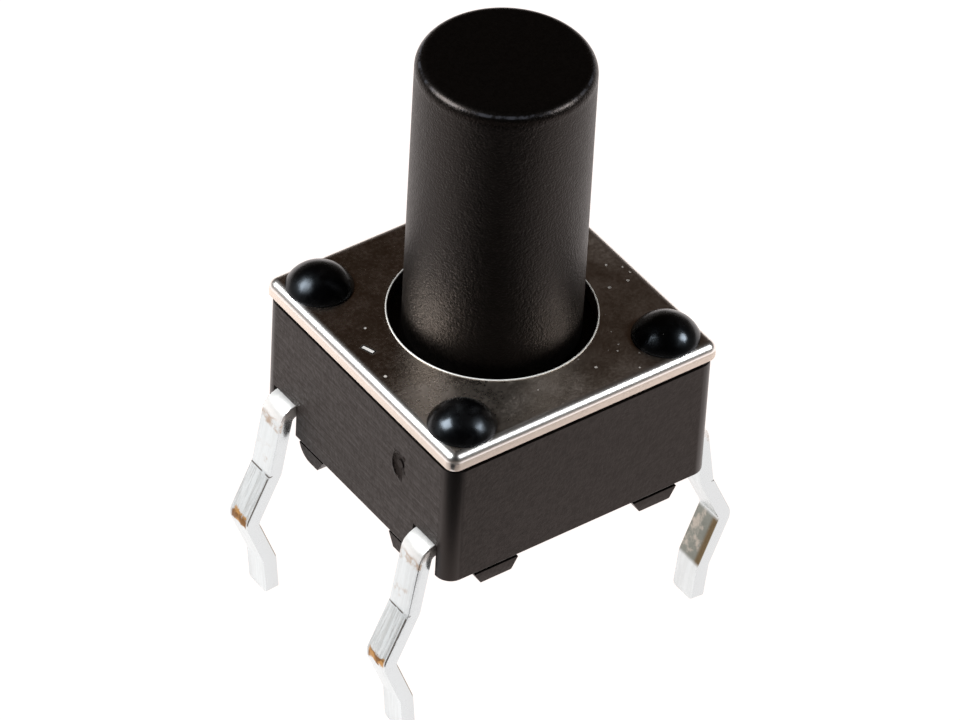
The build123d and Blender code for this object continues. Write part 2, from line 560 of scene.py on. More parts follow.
class SharedEffects:
    """Shader node groups that more than one finish uses, each built once."""

    COARSENESS = 0.34
    FINE_SHARE = 0.7
    COARSE_SHARE = 0.3
    SPECKLE_SPAN: Span = (0.5, 0.68)
    SPECK_SIZE: Span = (0.5, 1.2)
    SPECK_STRENGTH: Span = (0.35, 1.0)
    STREAK_SPAN: Span = (0.36, 0.64)

    def __init__(self) -> None:
        """Builds the groups."""
        self.grain = self.build_grain()
        self.dust = self.build_dust()
        self.streaks = self.build_streaks()

    @staticmethod
    def open_group(name: str, inputs: dict[str, str], outputs: Sequence[str]
                   ) -> tuple[NodeSheet, bpy.types.Node, bpy.types.Node]:
        """Starts a group with named sockets.

        Args:
            name: The group's name.
            inputs: Input names with their socket types.
            outputs: Names of the float outputs.

        Returns:
            The sheet, its input node and its output node.
        """
        tree = bpy.data.node_groups.new(name, "ShaderNodeTree")
        for label, kind in inputs.items():
            tree.interface.new_socket(name=label, in_out="INPUT", socket_type=kind)
        for label in outputs:
            tree.interface.new_socket(name=label, in_out="OUTPUT", socket_type="NodeSocketFloat")
        sheet = NodeSheet(tree)
        return sheet, tree.nodes.new("NodeGroupInput"), tree.nodes.new("NodeGroupOutput")

    def build_grain(self) -> bpy.types.NodeTree:
        """Moulded or plated grain: a fine height and a sparse speckle of lit grains.

        Returns:
            The group, with inputs Place and Fineness and outputs Height and Speckle.
        """
        sheet, given, result = self.open_group(
            "Surface grain", {"Place": "NodeSocketVector", "Fineness": "NodeSocketFloat"},
            ("Height", "Speckle"))
        place, fineness = given.outputs["Place"], given.outputs["Fineness"]
        fine = sheet.noise(place, fineness, 2.0, 0.6)
        coarse = sheet.noise(place, sheet.both(fineness, self.COARSENESS), 2.0)
        height = sheet.sum("ADD", sheet.both(fine, self.FINE_SHARE), sheet.both(coarse, self.COARSE_SHARE))
        sheet.feed(result, "Height", height)
        sheet.feed(result, "Speckle", sheet.band(height, *self.SPECKLE_SPAN))
        return sheet.tree

    def build_dust(self) -> bpy.types.NodeTree:
        """Scattered dust: round specks in some of the cells of a random net.

        Returns:
            The group, with inputs Place, Cells, Share and Radius and the output Specks.
        """
        sheet, given, result = self.open_group(
            "Dust specks",
            {"Place": "NodeSocketVector", "Cells": "NodeSocketFloat", "Share": "NodeSocketFloat",
             "Radius": "NodeSocketFloat"}, ("Specks",))
        net = sheet.node("TexVoronoi", {"Vector": given.outputs["Place"], "Scale": given.outputs["Cells"]})
        draws = sheet.node("SeparateColor", {0: net.outputs["Color"]}).outputs
        chosen = sheet.sum("LESS_THAN", draws[0], given.outputs["Share"])
        reach = sheet.both(given.outputs["Radius"], sheet.band(draws[1], 0.0, 1.0, *self.SPECK_SIZE))
        inside = sheet.sum("LESS_THAN", net.outputs["Distance"], reach)
        strength = sheet.band(draws[2], 0.0, 1.0, *self.SPECK_STRENGTH)
        sheet.feed(result, "Specks", sheet.both(sheet.both(chosen, inside), strength))
        return sheet.tree

    def build_streaks(self) -> bpy.types.NodeTree:
        """Fine parallel streaks along one direction.

        Returns:
            The group, with inputs Place and Density (streaks per millimetre on each axis) and output Streak.
        """
        sheet, given, result = self.open_group(
            "Drawn streaks", {"Place": "NodeSocketVector", "Density": "NodeSocketVector"}, ("Streak",))
        stretched = sheet.vector("MULTIPLY", given.outputs["Place"], given.outputs["Density"])
        sheet.feed(result, "Streak", sheet.band(sheet.noise(stretched, 1.0, 4.0, 0.6), *self.STREAK_SPAN))
        return sheet.tree


@dataclass(frozen=True)
class Finish:
    """A finish: a named material around one Principled shader."""

    effects: SharedEffects
    name: str

    def make(self) -> bpy.types.Material:
        """Builds the material.

        Returns:
            The material.
        """
        material = bpy.data.materials.new(self.name)
        material.use_nodes = True
        sheet = NodeSheet(material.node_tree)
        surface = sheet.node("BsdfPrincipled")
        self.paint(sheet, surface, sheet.millimetres())
        sheet.node("OutputMaterial", {"Surface": surface.outputs["BSDF"]})
        return material

    def paint(self, sheet: NodeSheet, surface: bpy.types.Node, place: bpy.types.NodeSocket) -> None:
        """Wires colour, roughness and relief into the shader.

        Args:
            sheet: The material's sheet.
            surface: Its Principled shader.
            place: Object coordinates in millimetres.
        """
        raise NotImplementedError

    def grain(self, sheet: NodeSheet, place: bpy.types.NodeSocket, fineness: float
              ) -> tuple[bpy.types.NodeSocket, bpy.types.NodeSocket]:
        """Places the surface grain.

        Args:
            sheet: The material's sheet.
            place: Object coordinates in millimetres.
            fineness: Grains per millimetre.

        Returns:
            The grain's height and the mask of its lit grains.
        """
        made = sheet.use(self.effects.grain, {"Place": place, "Fineness": fineness})
        return made.outputs["Height"], made.outputs["Speckle"]

    def streaks(self, sheet: NodeSheet, place: bpy.types.NodeSocket, density: Point) -> bpy.types.NodeSocket:
        """Places drawn streaks.

        Args:
            sheet: The material's sheet.
            place: Object coordinates in millimetres.
            density: Streaks per millimetre on each axis.

        Returns:
            The mask of the streaks.
        """
        return sheet.use(self.effects.streaks, {"Place": place, "Density": density}).outputs["Streak"]

    def specks(self, sheet: NodeSheet, place: bpy.types.NodeSocket, cells: float, share: Any, radius: float
               ) -> bpy.types.NodeSocket:
        """Places dust specks.

        Args:
            sheet: The material's sheet.
            place: Object coordinates in millimetres.
            cells: Cells of the random net per millimetre.
            share: Share of the cells that hold a speck.
            radius: Radius of a speck, as a share of a cell.

        Returns:
            The mask of the specks.
        """
        made = sheet.use(self.effects.dust, {
            "Place": place, "Cells": cells, "Share": share, "Radius": radius})
        return made.outputs["Specks"]

    @staticmethod
    def relief(sheet: NodeSheet, surface: bpy.types.Node, height: Any, depth_mm: float) -> None:
        """Feeds a height to the shader's normal through a bump.

        Args:
            sheet: The material's sheet.
            surface: Its shader.
            height: The height, about 0 to 1.
            depth_mm: Depth of the relief in millimetres.
        """
        bump = sheet.node("Bump", {"Height": height, "Distance": depth_mm * MM, "Strength": 1.0})
        sheet.feed(surface, "Normal", bump.outputs["Normal"])


@dataclass(frozen=True)
class PlungerPlastic(Finish):
    """Black moulded plastic with a fine brown-grey grain, a painted highlight line round its rim and a
    smoother top.
    """

    name: str = "plunger_black_plastic"
    dark: Colour = (0.0012, 0.0010, 0.0009, 1)
    lit: Colour = (0.0090, 0.0074, 0.0064, 1)
    # Pale bluish colour of the painted highlight line round the rim, which carries the lamps' rim highlights
    # on across the front.
    worn: Colour = (0.040, 0.041, 0.048, 1)
    speck: Colour = (0.16, 0.145, 0.13, 1)
    tint: Colour = (1.0, 0.84, 0.76, 1)
    ior: float = 1.35
    gloss: Span = (0.25, 0.35)
    side_roughness: float = 0.11
    fineness: float = 22.0
    relief_depth: float = 0.023
    cloud_scale: float = 0.8
    cloud_span: Span = (0.35, 0.68)
    least_cloud: float = 0.3
    dust: Dust = (2.2, 0.14, 0.04)
    top: float = 9.34
    rim: float = 0.34
    grain_fade: Span = (0.20, 0.02)
    top_grain: float = 0.10
    # Drop below the top, band, dot scale and dot spread of the painted highlight line round the rim.
    highlight_line_drop: float = 0.052
    highlight_line_band: Span = (0.007, 0.020)
    highlight_dot_scale: float = 7.0
    highlight_dot_span: Span = (0.42, 0.60)
    least_highlight_dot: float = 0.12

    def paint(self, sheet: NodeSheet, surface: bpy.types.Node, place: bpy.types.NodeSocket) -> None:
        """Wires the grain, the painted highlight line round the rim, the smoother top and a few specks."""
        _, _, z = sheet.axes(place)
        height, speckle = self.grain(sheet, place, self.fineness)
        clouds = sheet.noise(place, self.cloud_scale, 2.0)
        clouds = sheet.band(clouds, *self.cloud_span, self.least_cloud, 1.0)
        side = sheet.band(z, self.top - self.rim, self.top - self.rim / 2, 1.0, 0.0)
        rough_side = sheet.both(side, sheet.both(speckle, clouds))
        # A dotted pale line painted round the rim fillet where the lamps' highlights fall: a painted
        # highlight.
        line = sheet.stripe(z, self.top - self.highlight_line_drop, *self.highlight_line_band)
        highlight_dots = sheet.noise(place, self.highlight_dot_scale, 2.0)
        highlight_dots = sheet.band(highlight_dots, *self.highlight_dot_span, self.least_highlight_dot, 1.0)
        sheet.feed(surface, "Base Color", sheet.coats(
            self.dark, (rough_side, self.lit), (sheet.both(line, highlight_dots), self.worn),
            (self.specks(sheet, place, *self.dust), self.speck)))
        sheet.feed(surface, "IOR", self.ior)
        sheet.feed(surface, "Specular Tint", self.tint)
        spread = sheet.band(height, *NOISE_SPAN, *self.gloss)
        sheet.feed(surface, "Roughness", sheet.sum("ADD", sheet.both(side, self.side_roughness), spread))
        grained = sheet.band(z, *(self.top - drop for drop in self.grain_fade), 1.0, self.top_grain)
        rise = sheet.both(sheet.sum("SUBTRACT", height, NOISE_MIDDLE), grained)
        self.relief(sheet, surface, rise, self.relief_depth)


@dataclass(frozen=True)
class BasePlastic(Finish):
    """Black moulded plastic of the base: satin faces, streaked at the sides, with glossier corners."""

    name: str = "base_black_plastic"
    dark: Colour = (0.0030, 0.0025, 0.0023, 1)
    lit: Colour = (0.0085, 0.0070, 0.0063, 1)
    corner: Colour = (0.0120, 0.0112, 0.0112, 1)
    speck: Colour = (0.16, 0.14, 0.125, 1)
    tint: Colour = (1.0, 0.77, 0.68, 1)
    ior: float = 1.345
    face_roughness: float = 0.40
    corner_roughness: float = 0.33
    satin: float = 0.10
    fineness: float = 13.0
    speckle_share: float = 0.4
    streak_density: Point = (0.55, 0.55, 9.0)
    streak_share: float = 0.6
    grain_rise: float = 0.8
    streak_rise: float = 0.35
    relief_depth: float = 0.008
    dust: Dust = (2.2, 0.12, 0.045)
    half_width: float = 2.97
    side_fade: Span = (0.08, 0.04)
    corner_radius: float = 0.32
    corner_fade: Span = (-0.03, 0.06)
    gate: Point = (-2.97, -1.36, 2.14)
    gate_reach: Point = (0.3, 0.22, 0.34)
    gate_fade: Span = (0.75, 1.0)
    gate_rag: float = 0.25
    gate_rag_scale: float = 6.0
    gate_roughness: float = 0.2
    gate_rise: float = 4.0
    gate_rise_scale: float = 9.0

    def paint(self, sheet: NodeSheet, surface: bpy.types.Node, place: bpy.types.NodeSocket) -> None:
        """Wires the side streaks, the grain, the corners, the ragged gate mark and a few specks."""
        x, y, _ = sheet.axes(place)
        reach_x = sheet.sum("ABSOLUTE", x)
        nearest = sheet.sum("MINIMUM", reach_x, sheet.sum("ABSOLUTE", y))
        start = self.half_width - self.corner_radius
        corner = sheet.band(nearest, *(start + fade for fade in self.corner_fade))
        flat = sheet.rest(corner)
        on_side = sheet.band(reach_x, *(self.half_width - inset for inset in self.side_fade))
        height, speckle = self.grain(sheet, place, self.fineness)
        streaks = sheet.both(self.streaks(sheet, place, self.streak_density), on_side)
        mark = self.gate_mark(sheet, place)
        lit = sheet.sum("ADD", sheet.both(streaks, self.streak_share),
                        sheet.both(speckle, self.speckle_share))
        sheet.feed(surface, "Base Color", sheet.coats(
            self.dark, (lit, self.lit), (corner, self.corner),
            (self.specks(sheet, place, *self.dust), self.speck)))
        sheet.feed(surface, "IOR", self.ior)
        sheet.feed(surface, "Specular Tint", self.tint)
        satin = sheet.both(sheet.band(height, *NOISE_SPAN, -self.satin, self.satin), flat)
        roughness = sheet.band(corner, 0.0, 1.0, self.face_roughness, self.corner_roughness)
        roughness = sheet.sum("ADD", satin, roughness)
        sheet.feed(surface, "Roughness", sheet.sum("ADD", roughness, sheet.both(mark, self.gate_roughness)))
        rise = sheet.sum("ADD", sheet.both(height, self.grain_rise), sheet.both(streaks, self.streak_rise))
        rugged = sheet.both(sheet.both(mark, sheet.noise(place, self.gate_rise_scale, 2.0)), self.gate_rise)
        self.relief(sheet, surface, sheet.sum("ADD", sheet.both(rise, flat), rugged), self.relief_depth)

    def gate_mark(self, sheet: NodeSheet, place: bpy.types.NodeSocket) -> bpy.types.NodeSocket:
        """A ragged oval mask over the gate mark.

        Args:
            sheet: The material's sheet.
            place: Object coordinates in millimetres.

        Returns:
            The mask.
        """
        offset = sheet.vector("SUBTRACT", place, self.gate)
        away = sheet.length(sheet.vector("DIVIDE", offset, self.gate_reach))
        clouds = sheet.noise(place, self.gate_rag_scale, 3.0)
        ragged = sheet.sum("ADD", away, sheet.band(clouds, *NOISE_SPAN, -self.gate_rag, self.gate_rag))
        return sheet.band(ragged, *self.gate_fade, 1.0, 0.0)


@dataclass(frozen=True)
class RivetGloss(Finish):
    """The same black plastic where heat has headed it over: glossy, with a faint sag in the skin."""

    name: str = "rivet_gloss_plastic"
    dark: Colour = (0.0006, 0.0006, 0.0008, 1)
    hazy: Colour = (0.0022, 0.0020, 0.0020, 1)
    speck: Colour = (0.14, 0.13, 0.12, 1)
    tint: Colour = (0.78, 0.88, 1.0, 1)
    ior: float = 1.45
    gloss: Span = (0.22, 0.30)
    haze_scale: float = 2.4
    haze_span: Span = (0.38, 0.66)
    sag_scale: float = 3.2
    relief_depth: float = 0.012
    dust: Dust = (4.0, 0.07, 0.05)

    def paint(self, sheet: NodeSheet, surface: bpy.types.Node, place: bpy.types.NodeSocket) -> None:
        """Wires the gloss, a soft unevenness and a little dust."""
        haze = sheet.band(sheet.noise(place, self.haze_scale, 3.0), *self.haze_span)
        sheet.feed(surface, "Base Color", sheet.coats(
            self.dark, (haze, self.hazy), (self.specks(sheet, place, *self.dust), self.speck)))
        sheet.feed(surface, "IOR", self.ior)
        sheet.feed(surface, "Specular Tint", self.tint)
        sheet.feed(surface, "Roughness", sheet.band(haze, 0.0, 1.0, *self.gloss))
        self.relief(sheet, surface, sheet.noise(place, self.sag_scale, 1.0), self.relief_depth)


@dataclass(frozen=True)
class NickelPlate(Finish):
    """Bright nickel on steel: brown-grey top, burnished hole lip, worn shoulder, beige edge, dust."""

    name: str = "bright_nickel_plate"
    bright: Colour = (0.72, 0.62, 0.54, 1)
    smoky: Colour = (0.57, 0.48, 0.40, 1)
    lip_bright: Colour = (0.98, 0.96, 0.92, 1)
    worn: Colour = (0.95, 0.92, 0.89, 1)
    sheared: Colour = (0.90, 0.79, 0.70, 1)
    speck: Colour = (0.62, 0.58, 0.54, 1)
    gouge: Colour = (0.98, 0.93, 0.88, 1)
    soot: Colour = (0.0015, 0.001, 0.001, 1)
    roughness: float = 0.23
    grain_roughness: float = 0.05
    cloud_roughness: float = 0.04
    lip_roughness: float = 0.40
    skirt_roughness: float = 0.30
    shoulder_roughness: float = 0.05
    dust_roughness: float = 0.6
    front_roughness: float = 0.04
    front_span: Span = (-3.8, -2.4)
    right_roughness: float = 0.115
    right_span: Span = (-0.8, 2.2)
    skirt_dullness: float = 0.4
    fineness: float = 15.0
    relief_depth: float = 0.006
    cloud_scale: float = 1.6
    cloud_detail: Span = (4.0, 0.65)
    cloud_span: Span = (0.36, 0.66)
    streak_density: Point = (7.0, 0.5, 1.0)
    streak_share: float = 0.16
    dust_cells: float = 4.8
    dust_radius: float = 0.13
    dust_share: Span = (0.20, 0.75)
    dust_span: Span = (-2.6, 2.0)
    dust_end: Span = (2.75, 2.8)
    scratch_ends: tuple[Span, Span] = ((-2.57, 0.40), (-2.51, 0.23))
    scratch_half: float = 0.028
    outline_half: float = 0.060
    scratch_soft: float = 0.01
    half_width: float = 3.0
    hole_radius: float = 1.935
    lip_width: float = 0.036
    lip_soft: float = 0.01
    lip_drop: float = 0.02
    top: float = 3.47
    edge_radius: float = 0.20
    shoulder_fade: Span = (-0.02, 0.05)
    skirt_share: float = 0.80
    skirt_soft: float = 0.015
    skirt_inset: Span = (0.05, 0.03)

    def paint(self, sheet: NodeSheet, surface: bpy.types.Node, place: bpy.types.NodeSocket) -> None:
        """Wires the plating's clouds, the lip, the worn shoulder, the sheared edge, a scratch and dust."""
        x, y, z = sheet.axes(place)
        farthest = sheet.largest(sheet.sum("ABSOLUTE", x), sheet.sum("ABSOLUTE", y))
        lip = self.lip(sheet, place, z)
        skirt = self.skirt(sheet, farthest, z)
        start = self.half_width - self.edge_radius
        shoulder = sheet.band(farthest, *(start + fade for fade in self.shoulder_fade))
        shoulder = sheet.both(shoulder, sheet.rest(skirt))
        flat = sheet.rest(shoulder)
        height, _ = self.grain(sheet, place, self.fineness)
        clouds = sheet.band(sheet.noise(place, self.cloud_scale, *self.cloud_detail), *self.cloud_span)
        streaks = sheet.both(self.streaks(sheet, place, self.streak_density), self.streak_share)
        share = sheet.band(x, *self.dust_span, *self.dust_share)
        specks = self.specks(sheet, place, self.dust_cells, share, self.dust_radius)
        dust = sheet.both(specks, sheet.band(farthest, *self.dust_end, 1.0, 0.0))
        outline = self.scratch(sheet, x, y, self.outline_half)
        scratch = self.scratch(sheet, x, y, self.scratch_half)
        sheet.feed(surface, "Base Color", sheet.coats(
            self.smoky, (clouds, self.bright), (streaks, self.smoky), (shoulder, self.worn),
            (lip, self.lip_bright), (skirt, self.sheared), (dust, self.speck), (outline, self.soot),
            (scratch, self.gouge)))
        loose = sheet.largest(dust, outline, sheet.both(skirt, self.skirt_dullness))
        sheet.feed(surface, "Metallic", sheet.rest(loose))
        wear = sheet.largest(
            sheet.both(lip, self.lip_roughness), sheet.both(skirt, self.skirt_roughness),
            sheet.both(shoulder, self.shoulder_roughness), sheet.both(dust, self.dust_roughness))
        front = sheet.band(sheet.sum("ADD", x, y), *self.front_span, self.front_roughness, 0.0)
        right = sheet.band(sheet.sum("SUBTRACT", x, y), *self.right_span, 0.0, self.right_roughness)
        handled = sheet.both(sheet.largest(right, front), flat)
        grained = sheet.band(height, *NOISE_SPAN, -self.grain_roughness, self.grain_roughness)
        uneven = sheet.both(sheet.sum("ADD", grained, sheet.both(clouds, self.cloud_roughness)), flat)
        sheet.feed(surface, "Roughness", sheet.sum(
            "ADD", sheet.sum("ADD", uneven, self.roughness), sheet.sum("ADD", handled, wear)))
        rise = sheet.both(sheet.sum("SUBTRACT", height, NOISE_MIDDLE), flat)
        self.relief(sheet, surface, rise, self.relief_depth)

    def lip(self, sheet: NodeSheet, place: bpy.types.NodeSocket, z: bpy.types.NodeSocket
            ) -> bpy.types.NodeSocket:
        """A mask for the burnished lip round the hole.

        Args:
            sheet: The material's sheet.
            place: Object coordinates in millimetres.
            z: Level in millimetres.

        Returns:
            The mask.
        """
        from_axis = sheet.length(sheet.vector("MULTIPLY", place, (1, 1, 0)))
        end = self.hole_radius + self.lip_width
        ring = sheet.band(from_axis, end - self.lip_soft, end, 1.0, 0.0)
        return sheet.both(ring, sheet.band(z, self.top - self.lip_drop, self.top))

    def skirt(self, sheet: NodeSheet, farthest: bpy.types.NodeSocket, z: bpy.types.NodeSocket
              ) -> bpy.types.NodeSocket:
        """A mask for the sheared edge below the shoulder.

        Args:
            sheet: The material's sheet.
            farthest: Distance from the middle towards the nearest edge.
            z: Level in millimetres.

        Returns:
            The mask.
        """
        rim = sheet.band(farthest, *(self.half_width - inset for inset in self.skirt_inset))
        shear_top = self.top - self.edge_radius * self.skirt_share
        return sheet.both(rim, sheet.band(z, shear_top, shear_top + self.skirt_soft, 1.0, 0.0))

    def scratch(self, sheet: NodeSheet, x: bpy.types.NodeSocket, y: bpy.types.NodeSocket, half: float
                ) -> bpy.types.NodeSocket:
        """A mask for the one short scratch beside the hole.

        Args:
            sheet: The material's sheet.
            x: Place along X in millimetres.
            y: Place along Y in millimetres.
            half: Half its width in millimetres.

        Returns:
            The mask.
        """
        (x0, y0), (x1, y1) = self.scratch_ends
        length = math.hypot(x1 - x0, y1 - y0)
        along_x, along_y = (x1 - x0) / length, (y1 - y0) / length
        right = sheet.sum("SUBTRACT", x, (x0 + x1) / 2)
        forward = sheet.sum("SUBTRACT", y, (y0 + y1) / 2)
        along = sheet.sum("ADD", sheet.both(right, along_x), sheet.both(forward, along_y))
        across = sheet.sum("SUBTRACT", sheet.both(right, along_y), sheet.both(forward, along_x))
        return sheet.both(sheet.stripe(along, 0.0, length / 2 + half, self.scratch_soft),
                          sheet.stripe(across, 0.0, half, self.scratch_soft))


@dataclass(frozen=True)
class TinnedBrass(Finish):
    """Bright tin over brass: near white, drawn streaks, brown bend marks, brass bare at the knees."""

    name: str = "bright_tin_on_brass"
    bright: Colour = (0.81, 0.88, 0.905, 1)
    grey: Colour = (0.56, 0.60, 0.60, 1)
    sheared: Colour = (0.68, 0.74, 0.765, 1)
    matte: Colour = (0.92, 0.90, 0.87, 1)
    stain: Colour = (0.50, 0.41, 0.33, 1)
    brass: Colour = (0.55, 0.31, 0.11, 1)
    dark_brass: Colour = (0.24, 0.12, 0.04, 1)
    # Dark colour painted at the kink (painted shade) and along the near edge of the slanted runs (painted
    # dark reflection).
    painted_kink_and_edge_shade: Colour = (0.16, 0.15, 0.14, 1)
    # Colours of the painted shade on the inner faces of the lower runs: grey, with lighter spots, and browner
    # along the near side.
    painted_inner_shade: Colour = (0.29, 0.31, 0.28, 1)
    spots: Colour = (0.56, 0.53, 0.47, 1)
    painted_side_shade: Colour = (0.20, 0.15, 0.085, 1)
    roughness: Span = (0.36, 0.46)
    side_gloss: float = 0.18
    matte_metal: float = 0.35
    fineness: float = 12.0
    grain_rise: float = 0.15
    relief_depth: float = 0.004
    streak_density: Point = (2.0, 16.0, 0.9)
    streak_share: Span = (0.22, 0.75)
    cloud_scale: float = 4.5
    wander_span: Span = (0.2, 0.8)
    wander: float = 0.07
    bend_band: Span = (0.05, 0.09)
    bend_span: Span = (0.36, 0.62)
    patch_band: Span = (0.10, 0.15)
    patch_span: Span = (0.5, 0.7)
    patch_share: float = 0.5
    # Band and noise spread of the painted shade line at the kink.
    kink_shade_band: Span = (0.008, 0.012)
    kink_shade_span: Span = (0.36, 0.46)
    # Inset and band of the painted dark reflection along the near edge of the slanted runs.
    edge_reflection_inset: float = 0.02
    edge_reflection_band: Span = (0.010, 0.010)
    bare_rise: float = 0.05
    bare_band: Span = (0.08, 0.05)
    bare_span: Span = (0.45, 0.62)
    spot_span: Span = (0.48, 0.66)
    # Band of the browner painted shade along the near side of the lower runs.
    side_shade_band: Span = (0.08, 0.10)
    inner_depth: Span = (-0.145, -0.12)
    slant_ease: Span = (0.06, 0.05)
    lower_ease: Span = (0.10, 0.12)
    route: tuple[Span, ...] = ((3.10, 0.93), (3.33, -0.46), (3.82, -1.51), (3.39, -2.58), (3.31, -3.40))
    shoulder_end: float = 0.68
    shoulder_fade: float = 0.2
    row: float = 2.25
    half_width: float = 0.30
    across_inset: Span = (0.09, 0.03)
    side_inset: Span = (0.02, 0.01)
    half_thick: float = 0.14
    outer_share: Span = (0.45, 0.75)

    def depth(self, sheet: NodeSheet, reach: bpy.types.NodeSocket, z: bpy.types.NodeSocket
              ) -> bpy.types.NodeSocket:
        """How far a place lies outwards of the lead's middle line at its level.

        Args:
            sheet: The material's sheet.
            reach: Distance from the middle plane along X.
            z: Level in millimetres.

        Returns:
            The distance, positive on the outer face.
        """
        middle: Any = self.route[0][0]
        for (x0, z0), (x1, z1) in zip(self.route, self.route[1:]):
            step = sheet.node("MapRange", {
                "Value": z, "From Min": z0, "From Max": z1, "To Min": 0.0, "To Max": x1 - x0})
            middle = sheet.sum("ADD", step.outputs["Result"], middle)
        return sheet.sum("SUBTRACT", reach, middle)

    @staticmethod
    def between(sheet: NodeSheet, z: bpy.types.NodeSocket, high: float, low: float, ease: Span
                ) -> bpy.types.NodeSocket:
        """A mask for the run of a lead between two bends.

        Args:
            sheet: The material's sheet.
            z: Level in millimetres.
            high: Level of the upper bend.
            low: Level of the lower bend.
            ease: How far it stays off the bends, and the width of its faded edge.

        Returns:
            The mask.
        """
        return sheet.stripe(z, (high + low) / 2, (high - low) / 2 - ease[0], ease[1])

    def paint(self, sheet: NodeSheet, surface: bpy.types.Node, place: bpy.types.NodeSocket) -> None:
        """Wires the streaks, the bend stains, the painted shade at the kink, the painted dark reflection
        along the near edge, the bare brass and the painted shade on the inner faces of the lower runs.
        """
        x, y, z = sheet.axes(place)
        kink, knee, heel = (level for _, level in self.route[1:4])
        depth = self.depth(sheet, sheet.sum("ABSOLUTE", x), z)
        off_row = sheet.sum("SUBTRACT", y, sheet.both(sheet.sum("SIGN", y), self.row))
        off_middle = sheet.sum("ABSOLUTE", off_row)
        across = sheet.band(off_middle, *(self.half_width - inset for inset in self.across_inset), 1.0, 0.0)
        side = sheet.band(off_middle, *(self.half_width - inset for inset in self.side_inset))
        outer = sheet.band(depth, *(self.half_thick * share for share in self.outer_share))
        top = sheet.band(z, self.shoulder_end, self.shoulder_end + self.shoulder_fade)
        clouds = sheet.noise(place, self.cloud_scale, 3.0)
        wander = sheet.sum("ADD", z, sheet.band(clouds, *self.wander_span, -self.wander, self.wander))
        slanted = sheet.both(self.between(sheet, z, kink, knee, self.slant_ease), outer)
        drawn = sheet.both(self.streaks(sheet, place, self.streak_density),
                           sheet.band(slanted, 0.0, 1.0, *self.streak_share))
        bend = sheet.both(sheet.stripe(wander, self.shoulder_end, *self.bend_band),
                          sheet.band(clouds, *self.bend_span))
        patch = sheet.both(sheet.stripe(wander, 0.0, *self.patch_band),
                           sheet.band(clouds, *self.patch_span, 0.0, self.patch_share))
        stained = sheet.both(sheet.largest(bend, sheet.both(patch, across)), outer)
        # A broken dark line painted across the kink bend: painted shade.
        line = sheet.both(sheet.both(sheet.stripe(z, kink, *self.kink_shade_band), outer),
                          sheet.band(clouds, *self.kink_shade_span))
        # A dark line painted along the near edge of the slanted runs: painted reflection.
        edge = sheet.both(sheet.stripe(off_row, self.edge_reflection_inset - self.half_width, *self.edge_reflection_band), slanted)
        bare = sheet.both(sheet.stripe(wander, knee + self.bare_rise, *self.bare_band),
                          sheet.both(outer, across))
        brass = sheet.blend(sheet.band(clouds, *self.bare_span), self.brass, self.dark_brass)
        # Mask of the painted shade on the inner faces of the lower runs.
        shaded = sheet.both(self.between(sheet, z, knee, heel, self.lower_ease),
                            sheet.band(depth, *self.inner_depth, 1.0, 0.0))
        # The painted shade's colour: grey with lighter spots, browner along the near side.
        soot = sheet.coats(self.painted_inner_shade, (sheet.band(clouds, *self.spot_span), self.spots),
                           (sheet.stripe(off_row, -self.half_width, *self.side_shade_band), self.painted_side_shade))
        sheet.feed(surface, "Base Color", sheet.coats(
            self.bright, (drawn, self.grey), (side, self.sheared), (top, self.matte), (stained, self.stain),
            (sheet.largest(line, edge), self.painted_kink_and_edge_shade), (bare, brass), (shaded, soot)))
        sheet.feed(surface, "Metallic", sheet.band(top, 0.0, 1.0, 1.0, self.matte_metal))
        height, _ = self.grain(sheet, place, self.fineness)
        rough = sheet.band(height, *NOISE_SPAN, *self.roughness)
        sheet.feed(surface, "Roughness", sheet.sum("SUBTRACT", rough, sheet.both(side, self.side_gloss)))
        rise = sheet.sum("ADD", sheet.both(height, self.grain_rise), drawn)
        self.relief(sheet, surface, rise, self.relief_depth)


@dataclass(frozen=True)
class SpringSteel(Finish):
    """Rolled spring steel of the snap dome: bright, with fine rolling lines."""

    name: str = "rolled_spring_steel"
    bright: Colour = (0.72, 0.72, 0.70, 1)
    dull: Colour = (0.50, 0.49, 0.47, 1)
    gloss: Span = (0.18, 0.30)
    fineness: float = 20.0
    streak_density: Point = (0.6, 22.0, 2.0)
    relief_depth: float = 0.003

    def paint(self, sheet: NodeSheet, surface: bpy.types.Node, place: bpy.types.NodeSocket) -> None:
        """Wires the rolling lines and a light grain."""
        streaks = self.streaks(sheet, place, self.streak_density)
        height, _ = self.grain(sheet, place, self.fineness)
        sheet.feed(surface, "Base Color", sheet.blend(streaks, self.bright, self.dull))
        sheet.feed(surface, "Metallic", 1.0)
        sheet.feed(surface, "Roughness", sheet.band(height, *NOISE_SPAN, *self.gloss))
        self.relief(sheet, surface, streaks, self.relief_depth)


